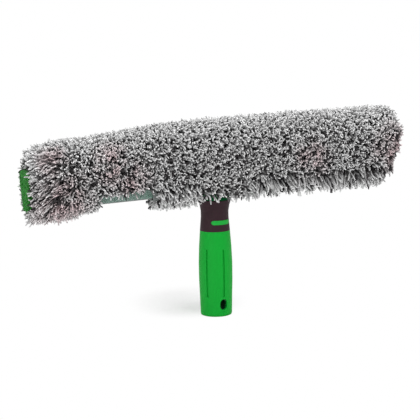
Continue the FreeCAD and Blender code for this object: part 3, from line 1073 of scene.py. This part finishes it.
def makeFlap(side):
    body = f"{side}_flap"
    seed = fleece["flapSeeds"][side]
    low, high = flapCloths[side]
    depths, crease = fleece["flapDepths"][side], fleece["creases"][side]
    inner = flapRings(low, depths[0], crease)[1]
    wall = fleece["clothThickness"]

    def outerAt(x):
        share = blendIn(fleece["flapSwell"], 1.0, (x - low.x) / (high.x - low.x))
        return flapRings(low, depths[0] + (depths[1] - depths[0]) * share, crease)[0]

    clothOuter = [(low.y, high.z), (low.y, low.z), (high.y, low.z)]
    clothInner = [(low.y + wall, high.z), (low.y + wall, low.z + wall), (high.y, low.z + wall)]
    stations = spaced(low.x, high.x, fleece["stations"])
    start, end = low.x, high.x
    inset = fleece["flapInsets"][side]
    if side == "left":
        start += inset
    else:
        end -= inset
    pileStations = spaced(start, end, fleece["stations"])

    cloth = meshPiece(
        f"{side}_flap_cloth", body,
        lambda form: tubeShell(form, stations, lambda x: clothOuter, lambda x: clothInner, False),
        clothFinish,
    )
    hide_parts(f"{side}_flap_backing")
    ground = meshPiece(
        f"{side}_flap_ground", body,
        lambda form: tubeShell(form, pileStations, outerAt, lambda x: inner, False),
        plushAndPaintedShade,
    )
    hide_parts(f"{side}_flap_pile")
    vertices, faces = ringSheet(outerAt, start, end, fleece["stations"], False)
    growTufts(f"{side}_flap_fleece", body, "fleece", vertices, [tuple(reversed(face)) for face in faces],
              flapHabit, {**fringeStrands, "Seed": seed})
    for edge, x, facing in (("left", start, -1), ("right", end, 1)):
        vertices, faces = endStrip(outerAt(x), inner, x, -facing, False)
        growTufts(f"{side}_flap_{edge}_end_fleece", body, "fleece", vertices, faces,
                  flapEndHabit(side != edge, facing), {**flapEndStrands, "Seed": seed + 4 + facing})


makeFlap("left")
makeFlap("right")
print("flaps made")


# Scouring pad: a bonded web of coarse fibres

padTones = [
    (0.0, (0.010, 0.12, 0.008)), (0.3, (0.035, 0.39, 0.028)),
    (0.7, (0.075, 0.65, 0.062)), (1.0, (0.27, 0.82, 0.24)),
]
padMottle = [(tuple((padLow + padHigh) / 2), 0.12)]  # one spot over the whole pad
padFinish = strandFinish("padFibre", padTones, (0.25, 0.45, 0.3), padMottle, 420.0, 0.7, 0.6, 0.0)
pad = {
    "depthRings": 4,
    "edgeRings": 5,
    "faceRings": (0.75, 0.5, 0.25),  # shares of the outer face
    "cornerRound": 0.0016,
    "sideSteps": 40,
    "lumpHeight": 0.0005,
    "lumpScale": 260.0,
    "lumpSeed": 5,
    "fibreSeed": 61,
}
padFibres = {
    "Density": 1500000.0,
    "Length": 0.0022,
    "Length Spread": 0.3,
    "Radius": 0.00016,
    "Taper": 0.2,
    "Splay": 1.2,
    "Bend": 1.2,
    "Droop": 0.0,
    "Clump": 0.7,
    "Clump Scale": 300.0,
    "Curl": 0.0005,
    "Turns": 1.0,
    "Steps": 5,
    "Sides": 3,
    "Finish": padFinish,
}


def padOutline(inset):
    return [padEdge(turn, -inset) for turn in spaced(0, 2 * math.pi, pad["sideSteps"])[:-1]]


def padRows():
    # Outlines from the end panel outwards, drawn in round the outer edge
    edge = pad["cornerRound"]
    depths = spaced(padHigh.x, padLow.x + edge, pad["depthRings"])
    rows = [(x, padOutline(edge / 2)) for x in depths]
    for turn in spaced(0, math.pi / 2, pad["edgeRings"])[1:]:
        inset = edge / 2 + edge * (1 - math.cos(turn))
        rows.append((padLow.x + edge * (1 - math.sin(turn)), padOutline(inset)))
    outline = padOutline(edge * 1.5)
    middle = (padLow.z + padHigh.z) / 2
    for share in pad["faceRings"]:
        rows.append((padLow.x, [(y * share, middle + (z - middle) * share) for y, z in outline]))
    return rows


def padMesh():
    noise.seed_set(pad["lumpSeed"])  # noise_vector is otherwise shifted by the clock
    rows = padRows()
    count = pad["sideSteps"]
    vertices = []
    for x, outline in rows:
        for y, z in outline:
            spot = Vector((x, y, z))
            lump = noise.noise_vector(spot * pad["lumpScale"]) * pad["lumpHeight"]
            vertices.append(spot + lump if x < padHigh.x else spot)
    faces = [tuple(reversed(face)) for face in sheetFaces(len(rows), count, True)]
    faces.append(tuple(range((len(rows) - 1) * count, len(rows) * count)))
    return vertices, faces


def padCoreFinish():
    material, bench = newFinish("padCore")
    web = speckle(bench, 900.0, 4.0)
    finishSurface(bench, {
        "Base Color": bench.add("ShaderNodeValToRGB", {"stops": [
            (0.35, (0.003, 0.04, 0.003)), (0.55, (0.010, 0.22, 0.012)), (0.75, (0.03, 0.38, 0.03)),
        ]}, {"Fac": web}),
        "Roughness": 0.8,
        "Normal": bump(bench, web, 0.0009),
    })
    return material


def makePad():
    vertices, faces = padMesh()

    def build(form):
        made = [form.verts.new(vertex) for vertex in vertices]
        for face in faces:
            form.faces.new([made[i] for i in face])
        form.faces.new(made[:pad["sideSteps"]])

    core = meshPiece("scouring_pad", "washer", build, padCoreFinish())
    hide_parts("scrub_pad")
    growTufts("scouring_fibres", "washer", "scouring_pad", vertices, faces, evenHabit,
              {**padFibres, "Seed": pad["fibreSeed"]})


makePad()
print("pad made")


# Fastener tapes: a woven strip with loops, and strips with hooks

loopTones = [(0.0, (0.20, 0.42, 0.33)), (0.6, (0.36, 0.56, 0.47)), (1.0, (0.66, 0.78, 0.72))]
loopGreenerSpot = [((-0.088, tapeLow.y, tapeLow.z), 0.012)]  # greener beside the left flap
loopFinish = strandFinish("tapeLoops", loopTones, (0.45, 1.0, 0.75), loopGreenerSpot, 60.0, 0.9, 0.5, 0.1)
tapes = {"strip": 0.0006, "edge": 0.0004, "spans": 12}
loops = {
    "Density": 900000.0,
    "Length": 0.0007,
    "Length Spread": 0.25,
    "Radius": 0.00014,
    "Taper": 0.0,
    "Splay": 0.5,
    "Bend": 1.0,
    "Droop": 0.0,
    "Clump": 0.6,
    "Clump Scale": 500.0,
    "Curl": 0.0004,
    "Turns": 0.8,
    "Steps": 6,
    "Sides": 3,
    "Finish": loopFinish,
}
hooks = {**loops, "Density": 550000.0, "Length": 0.0004, "Bend": 0.9, "Curl": 0.0002, "Splay": 0.1}


def makeTape(node, body, outward, filling, seed):
    # outward is -1 where the fastening face looks to the front, 1 where it looks to the rear
    low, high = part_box(node)
    seat, face = (high.y, high.y - tapes["strip"]) if outward < 0 else (low.y, low.y + tapes["strip"])
    edge = tapes["edge"]

    def build(form):
        profile = [(seat, low.z), (face, low.z + edge), (face, high.z - edge), (seat, high.z)]
        prism(form, placed(profile, low.x), placed(profile, high.x))

    strip = meshPiece(node + "_strip", body, build, tapeFinish)
    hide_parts(node)
    spans = tapes["spans"]
    spots = [(x, face, z) for z in (low.z + edge, high.z - edge) for x in spaced(low.x, high.x, spans)]
    faces = [(i, i + 1, i + 2 + spans, i + 1 + spans) for i in range(spans)]
    if outward > 0:
        faces = [tuple(reversed(corners)) for corners in faces]
    growTufts(node + "_pile", body, "fastener_tape", spots, faces, evenHabit, {**filling, "Seed": seed})


makeTape("loop_tape", "washer", -1, loops, 71)
makeTape("left_hook_tape", "left_flap", 1, hooks, 72)
makeTape("right_hook_tape", "right_flap", 1, hooks, 73)
print("tapes made")
